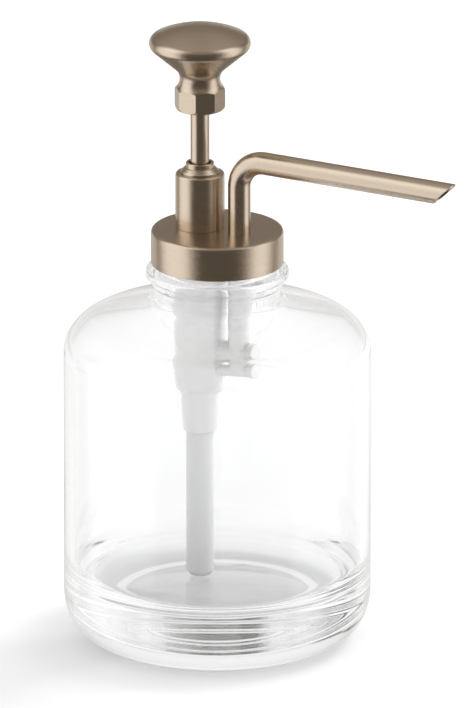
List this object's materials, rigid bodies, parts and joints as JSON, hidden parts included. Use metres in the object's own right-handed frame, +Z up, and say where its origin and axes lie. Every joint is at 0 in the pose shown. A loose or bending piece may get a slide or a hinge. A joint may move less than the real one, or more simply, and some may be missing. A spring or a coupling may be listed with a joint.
{
  "type": "soap pump dispenser",
  "caption": "Clear glass soap bottle with a brushed metal screw cap, a fixed bent spout and a sprung plunger pump under a mushroom knob.",
  "frame": {"origin": "on the bottle's axis, at the flat underside that stands on the table", "axes": "+Z up along the bottle's axis, +X along the spout from the riser to its mouth"},
  "size_m": [0.118, 0.086, 0.1778],
  "materials": {
    "clear_glass": "clear, polished, colourless",
    "brushed_bronze": "warm grey-brown metal coating, brushed round the turned pieces and along the tubes",
    "steel": "bright",
    "white_plastic": "white moulded plastic, slightly glossy",
    "milky_plastic": "milky, lets some light through",
    "rubber": "matt"
  },
  "bodies": {
    "bottle": {"glass_bottle": "clear_glass"},
    "gasket": {"bottle_gasket": "rubber"},
    "head": {"cap_shell": "brushed_bronze", "cap_liner": "white_plastic", "spout_tube": "brushed_bronze", "pump_housing": "white_plastic", "side_arm_plug": "white_plastic", "guide_sleeve": "brushed_bronze", "gland_ring": "brushed_bronze", "rod_wiper": "rubber", "return_spring": "steel", "ball_stop": "white_plastic", "tailpiece": "white_plastic", "dip_tube": "milky_plastic", "spout_nut": "steel", "spout_washer": "rubber", "discharge_tube": "white_plastic"},
    "plunger": {"knob": "brushed_bronze", "plunger_rod": "brushed_bronze", "piston": "white_plastic", "piston_seal": "rubber"},
    "inlet_valve": {"inlet_ball": "steel"},
    "outlet_valve": {"outlet_ball": "steel"}
  },
  "joints": [
    {"name": "head_lift", "type": "slide", "parent": "bottle", "child": "gasket", "axis": [0, 0, 1], "range_m": [0, 0.105]},
    {"name": "head_turn", "type": "hinge", "parent": "gasket", "child": "head", "pos_m": [0, 0, 0.1158], "axis": [0, 0, 1], "continuous": true},
    {"name": "plunge", "type": "slide", "parent": "head", "child": "plunger", "axis": [0, 0, -1], "range_m": [0, 0.013], "stiffness_N_per_m": 150, "springref_m": -0.02, "deforming": ["return_spring"]},
    {"name": "inlet_ball_lift", "type": "slide", "parent": "head", "child": "inlet_valve", "axis": [0, 0, 1], "range_m": [0, 0.0015]},
    {"name": "outlet_ball_lift", "type": "slide", "parent": "head", "child": "outlet_valve", "axis": [0, 0, 1], "range_m": [0, 0.0014]}
  ]
}
